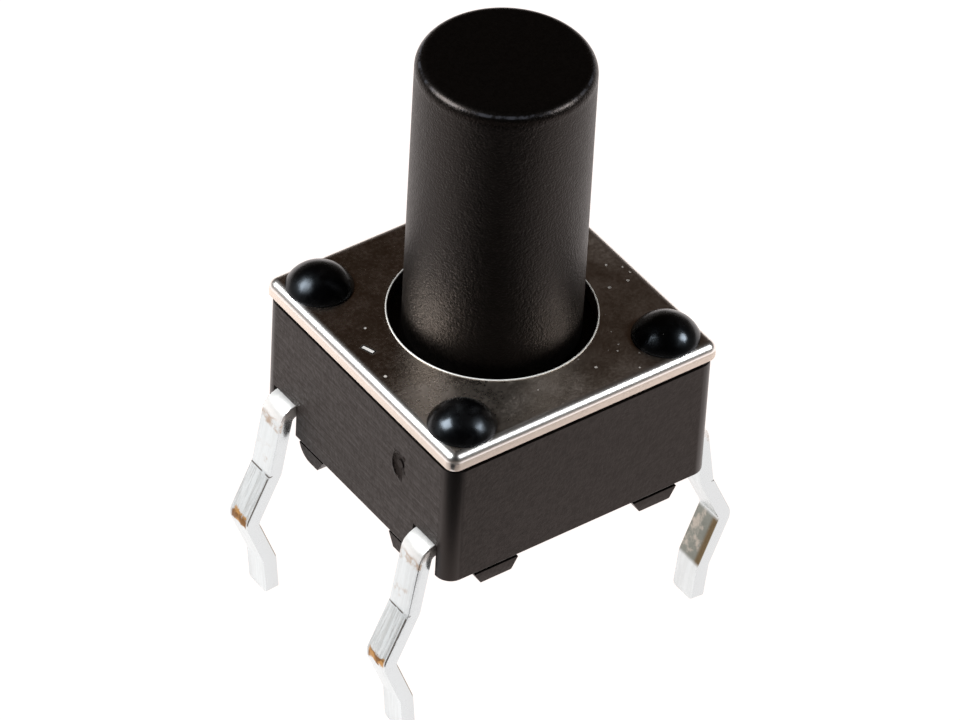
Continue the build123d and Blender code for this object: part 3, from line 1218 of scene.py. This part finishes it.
@dataclass
class Plunger:
    """The tall round button with its flange under the cover and the nub that presses the dome."""

    finish: bpy.types.Material
    root_radius: float = 1.665
    tip_radius: float = 1.645
    rim_radius: float = 0.22
    rim_steps: int = 12
    flange_low: float = 2.42
    flange_high: float = 3.12
    flange_edge: float = 0.06
    flange_steps: int = 3
    nub_radius: float = 0.70
    nub_edge: float = 0.10
    nub_steps: int = 5
    sides: int = 192

    def build(self) -> bpy.types.Object:
        """Turns the plunger ring by ring and rounds its edges.

        Returns:
            The finished plunger.
        """
        low, high = node_box("plunger")
        rings = [(self.nub_radius, low.z), (self.nub_radius, self.flange_low), (high.x, self.flange_low),
                 (high.x, self.flange_high), (self.root_radius, self.flange_high), (self.tip_radius, high.z)]
        piece = Bench.turn("plunger_button", rings, self.sides)
        self.round_ring(piece, self.tip_radius, high.z, self.rim_radius, self.rim_steps)
        self.round_ring(piece, self.nub_radius, low.z, self.nub_edge, self.nub_steps)
        for level in (self.flange_low, self.flange_high):
            self.round_ring(piece, high.x, level, self.flange_edge, self.flange_steps)
        Bench.finish(piece)
        Bench.dress(piece, self.finish, PLUNGER, "plunger", "plunger_plastic")
        return piece

    @staticmethod
    def round_ring(piece: bpy.types.Object, radius: float, level: float, round_radius: float, steps: int
                   ) -> None:
        """Rounds one ring of edges.

        Args:
            piece: The turned piece.
            radius: The ring's radius.
            level: The ring's level.
            round_radius: Radius of the rounding.
            steps: Facets across the rounding.
        """
        def on_ring(edge: Any) -> bool:
            """Whether both ends of an edge lie on the ring."""
            return all(abs(v.co.z - level) < NEAR and abs(v.co.xy.length - radius) < NEAR for v in edge.verts)

        with Bench.editing(piece):
            Bench.pick(piece, Pick.EDGE, on_ring)
            Bench.round_off(round_radius, steps)


@dataclass
class CoverPlate:
    """The pressed cover with rounded shoulders, a raised lip round the plunger's hole and four post holes."""

    finish: bpy.types.Material
    corner_radius: float = 0.22
    corner_steps: int = 10
    edge_radius: float = 0.20
    edge_steps: int = 8
    lower_edge: float = 0.03
    lower_steps: int = 2
    rim_width: float = 0.4
    hole_radius: float = 1.935
    hole_sides: int = 192
    lip_radius: float = 0.020
    lip_offset: float = 0.012
    lip_sink: float = 0.12
    lip_sides: int = 20
    post_place: float = 2.27
    post_hole: float = 0.45
    post_sides: int = 48
    cut: float = 0.5

    def build(self) -> bpy.types.Object:
        """Models the plate, raises the lip and opens the holes.

        Returns:
            The finished cover.
        """
        low, high = node_box("cover_plate")
        piece = Bench.block("cover_plate_nickel", low, high)
        with Bench.editing(piece):
            Bench.pick(piece, Pick.EDGE, lambda e: abs(e.verts[0].co.z - e.verts[1].co.z) > NEAR)
            Bench.round_off(self.corner_radius, self.corner_steps)
            Bench.pick(piece, Pick.EDGE, lambda e: all(abs(v.co.z - high.z) < NEAR for v in e.verts))
            Bench.round_off(self.edge_radius, self.edge_steps)
            Bench.pick(piece, Pick.EDGE, lambda e: all(abs(v.co.z - low.z) < NEAR for v in e.verts)
                       and max(abs(c) for v in e.verts for c in v.co.xy) > high.x - self.rim_width)
            Bench.round_off(self.lower_edge, self.lower_steps)
        self.raise_lip(piece, high.z)
        below, above = low.z - self.cut, high.z + self.cut
        hole = Bench.rod("hole", self.hole_radius, below, above, sides=self.hole_sides)
        Bench.combine(piece, hole, Join.CUT)
        for sx, sy in CORNERS:
            at = (sx * self.post_place, sy * self.post_place)
            post = Bench.rod("post_hole", self.post_hole, below, above, at, self.post_sides)
            Bench.combine(piece, post, Join.CUT)
        Bench.finish(piece)
        Bench.dress(piece, self.finish, HOUSING, "cover_plate", "nickel_cover")
        return piece

    def raise_lip(self, piece: bpy.types.Object, top: float) -> None:
        """Adds the thin round lip that the punch raised at the hole's edge.

        Args:
            piece: The plate, before its hole is cut.
            top: Level of the plate's top.
        """
        Bench.clear()
        bpy.ops.mesh.primitive_torus_add(
            major_radius=self.hole_radius + self.lip_offset, minor_radius=self.lip_radius,
            major_segments=self.hole_sides, minor_segments=self.lip_sides,
            location=(0, 0, top - self.lip_radius * self.lip_sink))
        Bench.combine(piece, Bench.settle("lip"), Join.ADD)


@dataclass
class BaseHousing:
    """The moulded base: block, cavity, L feet, lead notches, gate mark and headed-over rivet heads."""

    finish: bpy.types.Material
    rivet_finish: bpy.types.Material
    underside: float = 0.38
    top: float = 3.14
    cover_top: float = 3.47
    corner_radius: float = 0.32
    corner_steps: int = 10
    edge: float = 0.035
    edge_steps: int = 3
    seam_height: float = 0.10
    seam_depth: float = 0.06
    cavity_radius: float = 2.42
    cavity_floor: float = 1.17
    cavity_sides: int = 128
    foot_recess: float = 0.06
    foot_depth: float = 1.85
    foot_flare: float = 0.26
    long_arm_centre: float = 1.79
    long_arm_width: float = 0.66
    foot_pad: float = 0.27
    foot_neck: float = 0.10
    foot_steps: int = 2
    short_sole: Span = (1.23, 1.41)
    short_side: float = 1.85
    short_steps: int = 8
    notch: Span = (1.88, 2.62)
    notch_top: float = 1.11
    notch_depth: float = 0.35
    gate_centre: Span = (-1.36, 2.14)
    gate_size: Span = (0.40, 0.62)
    gate_depth: float = 0.06
    gate_sides: int = 48
    gate_stub: float = 0.09
    gate_stub_height: float = 0.03
    gate_stub_sides: int = 24
    post_place: float = 2.27
    post_radius: float = 0.43
    rivet_radius: float = 0.65
    rivet_height: float = 0.42
    rivet_sides: int = 64
    rivet_rings: int = 48
    rivet_edge: float = 0.05
    rivet_steps: int = 3
    cut: float = 0.5
    half: float = field(default_factory=lambda: node_box("base_housing")[1].x)

    def build(self) -> list[bpy.types.Object]:
        """Models the base and its four rivet heads.

        Returns:
            The finished pieces.
        """
        piece = self.build_block()
        foot = self.build_foot()
        notch = Bench.block("notch", (self.half - self.notch_depth, self.notch[0], self.underside - self.cut),
                            (self.half + self.cut, self.notch[1], self.notch_top))
        for spare, how in ((foot, Join.ADD), (notch, Join.CUT)):
            for sx, sy in CORNERS:
                Bench.combine(piece, Bench.copy(spare, f"{spare.name}_copy", (sx, sy, 1)), how)
            bpy.data.meshes.remove(spare.data)
        cavity = Bench.rod("cavity", self.cavity_radius, self.cavity_floor, self.top + self.cut,
                           sides=self.cavity_sides)
        Bench.combine(piece, cavity, Join.CUT)
        Bench.combine(piece, self.build_gate_pit(), Join.CUT)
        Bench.combine(piece, self.build_gate_stub(), Join.ADD)
        Bench.finish(piece)
        Bench.dress(piece, self.finish, HOUSING, "base_housing", "base_plastic")
        return [piece, *self.build_rivets()]

    def build_block(self) -> bpy.types.Object:
        """The square block with rounded corners, eased lower edges and a narrow step under the cover.

        Returns:
            The block.
        """
        piece = Bench.block("base_block", (-self.half, -self.half, self.underside),
                            (self.half, self.half, self.top - self.seam_height))
        with Bench.editing(piece):
            Bench.pick(piece, Pick.EDGE, lambda e: abs(e.verts[0].co.z - e.verts[1].co.z) > NEAR)
            Bench.round_off(self.corner_radius, self.corner_steps)
            Bench.pick(piece, Pick.EDGE, lambda e: all(abs(v.co.z - self.underside) < NEAR for v in e.verts))
            Bench.round_off(self.edge, self.edge_steps)
            Bench.pick(piece, Pick.FACE, lambda f: f.normal.z > LEVEL)
            bpy.ops.mesh.inset(thickness=self.seam_depth)
            Bench.pull(z=self.seam_height)
        return piece

    def build_foot(self) -> bpy.types.Object:
        """The L-shaped foot of the corner at +X and +Y, made of its two arms.

        Returns:
            The foot.
        """
        face = self.half - self.foot_recess
        sunk = self.underside + self.edge * 2
        narrow = self.long_arm_width / 2
        wide = narrow + self.foot_flare
        foot = Bench.block("foot", (self.long_arm_centre - narrow, face - self.foot_depth, 0),
                           (self.long_arm_centre + narrow, face, sunk))
        with Bench.editing(foot):
            Bench.pick(foot, Pick.FACE, lambda f: f.normal.z > LEVEL)
            bpy.ops.transform.resize(
                value=(wide / narrow, 1, 1), center_override=(self.long_arm_centre, 0, sunk))
            Bench.pick(foot, Pick.EDGE, lambda e: all(v.co.z < NEAR for v in e.verts))
            Bench.round_off(self.edge, self.foot_steps)
        inner, outer = self.short_sole
        arm = Bench.block("short_arm", (face - self.foot_depth, inner, 0), (face, self.short_side, sunk))
        with Bench.editing(arm):
            Bench.pick(arm, Pick.POINT, lambda v: v.co.z > NEAR and v.co.y < (inner + outer) / 2)
            bpy.ops.transform.translate(value=(0, -self.foot_flare, 0))
            Bench.pick(arm, Pick.EDGE, lambda e: all(v.co.z < NEAR and v.co.y > outer for v in e.verts))
            Bench.round_off(self.underside - NEAR, self.short_steps)
        Bench.combine(foot, arm, Join.ADD)
        neck = face - self.foot_neck
        for low, high in (((0, neck), (self.half, self.half)), ((neck, 0), (self.half, self.short_side))):
            groove = Bench.block("groove", (*low, self.foot_pad), (*high, sunk + self.cut))
            Bench.combine(foot, groove, Join.CUT)
        return foot

    def build_gate_pit(self) -> bpy.types.Object:
        """The flattened ball that hollows the oval gate mark out of the -X face.

        Returns:
            The ball.
        """
        half_y, half_z = (size / 2 for size in self.gate_size)
        Bench.clear()
        bpy.ops.mesh.primitive_uv_sphere_add(
            segments=self.gate_sides, ring_count=self.gate_sides // 2, radius=1,
            location=(-self.half, *self.gate_centre))
        bpy.context.view_layer.objects.active.scale = (self.gate_depth, half_y, half_z)
        return Bench.settle("gate_pit")

    def build_gate_stub(self) -> bpy.types.Object:
        """The broken stub that stands in the gate mark.

        Returns:
            The stub.
        """
        y, z = self.gate_centre
        floor = -self.half + self.gate_depth
        Bench.clear()
        bpy.ops.mesh.primitive_cylinder_add(
            vertices=self.gate_stub_sides, radius=self.gate_stub, depth=self.gate_stub_height * 2,
            location=(floor, y, z), rotation=(0, math.pi / 2, 0))
        return Bench.settle("gate_stub")

    def build_rivets(self) -> list[bpy.types.Object]:
        """One rivet head, modelled once and copied to the four corners.

        Returns:
            The four finished heads.
        """
        ball_radius = (self.rivet_radius**2 + self.rivet_height**2) / (2 * self.rivet_height)
        Bench.clear()
        bpy.ops.mesh.primitive_uv_sphere_add(
            segments=self.rivet_sides, ring_count=self.rivet_rings, radius=ball_radius,
            location=(0, 0, self.cover_top + self.rivet_height - ball_radius))
        head = Bench.settle("rivet_head")
        with Bench.editing(head):
            bpy.ops.mesh.select_all(action="SELECT")
            bpy.ops.mesh.bisect(
                plane_co=(0, 0, self.cover_top), plane_no=(0, 0, 1), use_fill=True, clear_inner=True)
            Bench.pick(head, Pick.FACE, lambda f: f.normal.z < -LEVEL)
            bpy.ops.mesh.inset(thickness=self.rivet_radius - self.post_radius)
            Bench.pull(z=self.top - self.cover_top)
            Bench.pick(head, Pick.EDGE, lambda e: all(
                abs(v.co.z - self.cover_top) < NEAR and abs(v.co.xy.length - self.rivet_radius) < NEAR
                for v in e.verts))
            Bench.round_off(self.rivet_edge, self.rivet_steps)
        heads = []
        names = {(-1, -1): "front", (1, -1): "right", (-1, 1): "left", (1, 1): "back"}
        for (sx, sy), word in names.items():
            move = (sx * self.post_place, sy * self.post_place, 0)
            twin = Bench.copy(head, f"rivet_head_{word}", move=move)
            Bench.finish(twin)
            Bench.dress(twin, self.rivet_finish, HOUSING, "base_housing", "base_plastic")
            heads.append(twin)
        bpy.data.meshes.remove(head.data)
        return heads


@dataclass
class Terminal:
    """A stamped strip across the body with a formed lead at each end, and its contact inside."""

    finish: bpy.types.Material
    side: Side
    row: float = 2.25
    width: float = 0.60
    thickness: float = 0.28
    level: float = 0.93
    bends: tuple[Span, ...] = ((3.10, 0.93), (3.33, -0.46), (3.82, -1.51), (3.39, -2.58))
    tip: Span = (3.31, -3.40)
    shoulder_radius: float = 0.24
    bend_radius: float = 0.22
    least_steps: int = 3
    step_degrees: float = 9.0
    tip_corner: float = 0.10
    tip_steps: int = 4
    edge: float = 0.016
    edge_steps: int = 2
    edge_degrees: float = 50.0
    contact_top: float = 1.23
    pad_place: float = 1.845
    arm_width: float = 0.60
    arm_end: float = 0.80
    pad_size: Span = (0.45, 1.30)
    tongue_width: float = 0.90
    tongue_end: float = 0.55
    button_radius: float = 0.40
    button_sides: int = 48

    def build(self) -> bpy.types.Object:
        """Draws the strip, bends its leads, grows its arms and gives it thickness.

        Returns:
            The finished terminal.
        """
        node = f"{self.side.name.lower()}_terminal"
        piece = self.draw_strip(f"{node}_tinned")
        self.grow_arms(piece)
        self.round_bends(piece)
        Bench.outward(piece)
        Bench.apply(piece, "SOLIDIFY", thickness=self.thickness, offset=0.0, use_even_offset=True)
        Bench.apply(piece, "BEVEL", width=self.edge, segments=self.edge_steps, limit_method="ANGLE",
                    angle_limit=math.radians(self.edge_degrees))
        self.add_contacts(piece)
        Bench.finish(piece)
        Bench.dress(piece, self.finish, HOUSING, node, "tinned_brass")
        return piece

    def draw_strip(self, name: str) -> bpy.types.Object:
        """The flat strip as a sheet, with its two end edges drawn out along the leads.

        Args:
            name: The object's name.

        Returns:
            The sheet.
        """
        shoulder_x = self.bends[0][0]
        y = self.row * self.side.value
        Bench.clear()
        bpy.ops.mesh.primitive_plane_add(size=1, location=(0, y, self.level))
        bpy.context.view_layer.objects.active.scale = (2 * shoulder_x, self.width, 1)
        piece = Bench.settle(name)
        route = [*self.bends, self.tip]
        with Bench.editing(piece):
            for sign in (-1, 1):
                end = sign * shoulder_x
                Bench.pick(piece, Pick.EDGE, lambda e: all(abs(v.co.x - end) < NEAR for v in e.verts))
                for (x0, z0), (x1, z1) in zip(route, route[1:]):
                    Bench.pull(x=sign * (x1 - x0), z=z1 - z0)
            Bench.pick(piece, Pick.POINT, lambda v: v.co.z < self.tip[1] + NEAR)
            bpy.ops.mesh.bevel(offset=self.tip_corner, segments=self.tip_steps, affect="VERTICES")
        return piece

    def grow_arms(self, piece: bpy.types.Object) -> None:
        """Splits the strip across and draws its inner edge out into the arms or the tongue.

        Args:
            piece: The sheet.
        """
        inner_y = (self.row - self.width / 2) * self.side.value
        if self.side is Side.OUTER:
            half = self.arm_width / 2
            spans = [(middle - half, middle + half) for middle in (-self.pad_place, self.pad_place)]
            reach = -(inner_y + self.arm_end)
        else:
            spans = [(-self.tongue_width / 2, self.tongue_width / 2)]
            reach = self.tongue_end - inner_y
        with Bench.editing(piece):
            for cut_x in [x for span in spans for x in span]:
                Bench.pick(piece, Pick.FACE, lambda f: abs(f.normal.z) > LEVEL)
                bpy.ops.mesh.bisect(plane_co=(cut_x, 0, 0), plane_no=(1, 0, 0))
            for low_x, high_x in spans:
                Bench.pick(piece, Pick.EDGE, lambda e: all(
                    abs(v.co.y - inner_y) < NEAR and low_x - NEAR < v.co.x < high_x + NEAR for v in e.verts))
                Bench.pull(y=reach)

    def round_bends(self, piece: bpy.types.Object) -> None:
        """Rounds each bend of the leads to its radius.

        Args:
            piece: The sheet.
        """
        route = [(0.0, self.level), *self.bends, self.tip]
        for before, here, after in zip(route, route[1:], route[2:]):
            first = math.atan2(here[1] - before[1], here[0] - before[0])
            second = math.atan2(after[1] - here[1], after[0] - here[0])
            turn = abs(math.remainder(second - first, math.tau))
            radius = self.shoulder_radius if here == self.bends[0] else self.bend_radius
            with Bench.editing(piece):
                Bench.pick(piece, Pick.EDGE, lambda e: all(
                    abs(abs(v.co.x) - here[0]) < NEAR and abs(v.co.z - here[1]) < NEAR for v in e.verts))
                steps = max(self.least_steps, round(math.degrees(turn) / self.step_degrees))
                Bench.round_off(radius * math.tan(turn / 2), steps)

    def add_contacts(self, piece: bpy.types.Object) -> None:
        """Raises the rim pads or the round centre contact out of the strip.

        Args:
            piece: The terminal with its thickness.
        """
        if self.side is Side.CENTRE:
            contacts = [Bench.rod("button", self.button_radius, self.level, self.contact_top,
                                  sides=self.button_sides)]
        else:
            half_x, half_y = (size / 2 for size in self.pad_size)
            contacts = [Bench.block("pad", (s * self.pad_place - half_x, -half_y, self.level),
                                    (s * self.pad_place + half_x, half_y, self.contact_top)) for s in (-1, 1)]
        for contact in contacts:
            Bench.combine(piece, contact, Join.ADD)


@dataclass
class SnapDome:
    """The shallow spring disc that the plunger snaps down."""

    finish: bpy.types.Material
    thickness: float = 0.06
    rings: int = 14
    sides: int = 96
    pressed_share: float = 0.24

    def build(self) -> bpy.types.Object:
        """Draws a hoop up the dome's arc, closes its crown and gives it thickness.

        Returns:
            The finished dome.
        """
        low, high = node_box("snap_dome")
        rise = high.z - low.z - self.thickness
        ball_radius = (high.x**2 + rise**2) / (2 * rise)
        opening = math.asin(high.x / ball_radius)
        angles = [opening * (1 - step / self.rings) for step in range(self.rings)]
        arc = [(ball_radius * math.sin(a), low.z + rise - ball_radius * (1 - math.cos(a))) for a in angles]
        piece = Bench.turn("snap_dome_spring", arc, self.sides, capped=False)
        crown = arc[-1][0]
        with Bench.editing(piece):
            Bench.pick(piece, Pick.EDGE, lambda e: all(abs(v.co.xy.length - crown) < NEAR for v in e.verts))
            bpy.ops.mesh.edge_face_add()
        Bench.outward(piece)
        Bench.apply(piece, "SOLIDIFY", thickness=self.thickness, offset=1.0)
        Bench.finish(piece)
        Bench.dress(piece, self.finish, HOUSING, "snap_dome", "spring_steel")
        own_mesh(piece)
        return piece


@dataclass
class Studio:
    """The pale lit floor, two soft lamps, a dark card out of view, dim surroundings and the camera."""

    azimuth: float = -37.385
    elevation: float = 41.085
    roll: float = 3.298
    camera_place: Point = (-63.469, -82.776, 93.192)
    focal_pixels: float = 7528.3
    image_width: float = 960.0
    sensor: float = 36.0
    clip: Span = (0.001, 10.0)
    floor_half: float = 400.0
    floor_level: float = field(default_factory=lambda: CAD_BOX[0][2] / MM)
    floor_tone: Colour = (0.05, 0.05, 0.05, 1)
    floor_glow: Colour = (1.12, 1.03, 1.0, 1)
    floor_roughness: float = 0.9
    aim: Point = (0.0, 0.0, 2.0)
    lamp_distance: float = 160.0
    lamp_colour: Point = (0.93, 0.97, 1.0)
    left_lamp: Point = (-0.590, 0.381, 0.719)
    left_size: float = 66.0
    left_watts: float = 0.29
    right_lamp: Point = (0.577, -0.496, 0.649)
    right_size: float = 40.0
    right_watts: float = 0.125
    low_surround: Colour = (0.14, 0.12, 0.105, 1)
    near_surround: Colour = (0.003, 0.0025, 0.002, 1)
    far_surround: Colour = (0.022, 0.0135, 0.0088, 1)
    low_span: Span = (0.05, 0.55)
    far_span: Span = (-0.6, 0.6)
    ground: Colour = (1, 1, 1, 1)
    card_tone: Colour = (0.01, 0.01, 0.01, 1)
    card_near: float = 7.4
    card_far: float = 110.0
    card_near_half: float = 11.0
    card_far_half: float = 75.0
    card_lift: float = 0.05

    def build(self) -> None:
        """Sets up floor, card, lamps, surroundings and camera."""
        self.build_floor()
        self.build_card()
        self.build_lamp("lamp_left", self.left_lamp, self.left_watts, self.left_size)
        self.build_lamp("lamp_right", self.right_lamp, self.right_watts, self.right_size)
        self.build_surroundings()
        self.build_camera()

    def flat(self, name: str, low: Sequence[float], high: Sequence[float], level: float) -> bpy.types.Object:
        """A level sheet between two corners, marked as part of the stage.

        Args:
            name: The object's name.
            low: Lowest X and Y.
            high: Highest X and Y.
            level: Its level.

        Returns:
            The sheet, in metres.
        """
        Bench.clear()
        bpy.ops.mesh.primitive_plane_add(
            size=1, location=[MM * c for c in ((low[0] + high[0]) / 2, (low[1] + high[1]) / 2, level)])
        bpy.context.view_layer.objects.active.scale = [MM * (b - a) for a, b in zip(low, high)] + [1]
        sheet = Bench.settle(name)
        return sheet

    @staticmethod
    def coat(piece: bpy.types.Object, inputs: dict[str, Any]) -> None:
        """Gives a sheet of the stage a plain material under its own name.

        Args:
            piece: The floor or the card.
            inputs: The settings of the material's shader.
        """
        material = bpy.data.materials.new(piece.name)
        material.use_nodes = True
        sheet = NodeSheet(material.node_tree)
        surface = sheet.node("BsdfPrincipled", {"Specular IOR Level": 0.0, **inputs})
        sheet.node("OutputMaterial", {"Surface": surface.outputs["BSDF"]})
        piece.data.materials.append(material)

    def build_floor(self) -> None:
        """The pale floor, evenly lit like a light table."""
        half = self.floor_half
        floor = self.flat("pale_floor", (-half, -half), (half, half), self.floor_level)
        self.coat(floor, {"Base Color": self.floor_tone, "Roughness": self.floor_roughness,
                          "Emission Color": self.floor_glow, "Emission Strength": 1.0})

    def build_card(self) -> None:
        """A dark card on the floor before the camera, out of its sight, that keeps the near faces dark."""
        half = self.card_near_half
        card = self.flat("dark_card", (-half, -self.card_far), (half, -self.card_near),
                         self.floor_level + self.card_lift)
        with Bench.editing(card):
            Bench.pick(card, Pick.POINT, lambda v: v.co.y < -self.card_far * MM / 2)
            bpy.ops.transform.resize(value=(self.card_far_half / half, 1, 1), center_override=(0, 0, 0))
        card.rotation_euler = (0, 0, math.radians(self.azimuth))
        card.visible_camera = False
        self.coat(card, {"Base Color": self.card_tone, "Roughness": 1.0})

    def build_lamp(self, name: str, direction: Point, watts: float, size: float) -> None:
        """One soft square lamp aimed at the switch.

        Args:
            name: The lamp's name.
            direction: Direction from the switch to the lamp.
            watts: Its power.
            size: Length of its side in millimetres.
        """
        light = bpy.data.lights.new(name, "AREA")
        light.shape = "SQUARE"
        light.size = size * MM
        light.energy = watts
        light.color = self.lamp_colour
        towards = Vector(direction).normalized()
        lamp = bpy.data.objects.new(name, light)
        lamp.location = (Vector(self.aim) + towards * self.lamp_distance) * MM
        lamp.rotation_euler = towards.to_track_quat("Z", "Y").to_euler()
        lamp.visible_camera = False
        bpy.context.scene.collection.objects.link(lamp)

    def build_surroundings(self) -> None:
        """Dim brown surroundings for reflections, and a white ground behind the picture."""
        world = bpy.data.worlds.new("dim_studio")
        bpy.context.scene.world = world
        world.use_nodes = True
        sheet = NodeSheet(world.node_tree)
        x, y, height = sheet.axes(sheet.node("TexCoord").outputs["Generated"])
        low = sheet.band(height, *self.low_span, 1.0, 0.0)
        far = sheet.band(sheet.sum("ADD", x, y), *self.far_span)
        colour = sheet.coats(self.near_surround, (far, self.far_surround), (low, self.low_surround))
        dim = sheet.node("Background", {"Color": colour})
        white = sheet.node("Background", {"Color": self.ground})
        seen = sheet.node("LightPath").outputs["Is Camera Ray"]
        mixed = sheet.node("MixShader", {0: seen, 1: dim.outputs[0], 2: white.outputs[0]})
        sheet.node("OutputWorld", {"Surface": mixed.outputs[0]})

    def build_camera(self) -> None:
        """The camera at the photograph's place and angle."""
        lens = bpy.data.cameras.new("photo_camera")
        lens.sensor_width = self.sensor
        lens.lens = self.focal_pixels * self.sensor / self.image_width
        lens.clip_start, lens.clip_end = self.clip
        camera = bpy.data.objects.new("photo_camera", lens)
        turn = Matrix.Rotation(math.radians(self.azimuth), 4, "Z")
        tilt = Matrix.Rotation(math.radians(90 - self.elevation), 4, "X")
        roll = Matrix.Rotation(math.radians(self.roll), 4, "Z")
        camera.matrix_world = Matrix.Translation(Vector(self.camera_place) * MM) @ turn @ tilt @ roll
        bpy.context.scene.collection.objects.link(camera)
        bpy.context.scene.camera = camera
        bpy.context.scene.view_settings.view_transform = "Standard"


def main() -> None:
    """Builds and dresses every piece of the switch, logging each piece's faces, and sets up the studio."""
    logging.basicConfig(level=logging.INFO, format="%(name)s: %(message)s")
    effects = SharedEffects()
    BaseHousing(BasePlastic(effects=effects).make(), RivetGloss(effects=effects).make()).build()
    tin = TinnedBrass(effects=effects).make()
    for side in Side:
        Terminal(tin, side).build()
    SnapDome(SpringSteel(effects=effects).make()).build()
    CoverPlate(NickelPlate(effects=effects).make()).build()
    Plunger(PlungerPlastic(effects=effects).make()).build()
    Studio().build()


if __name__ == "__main__":
    main()
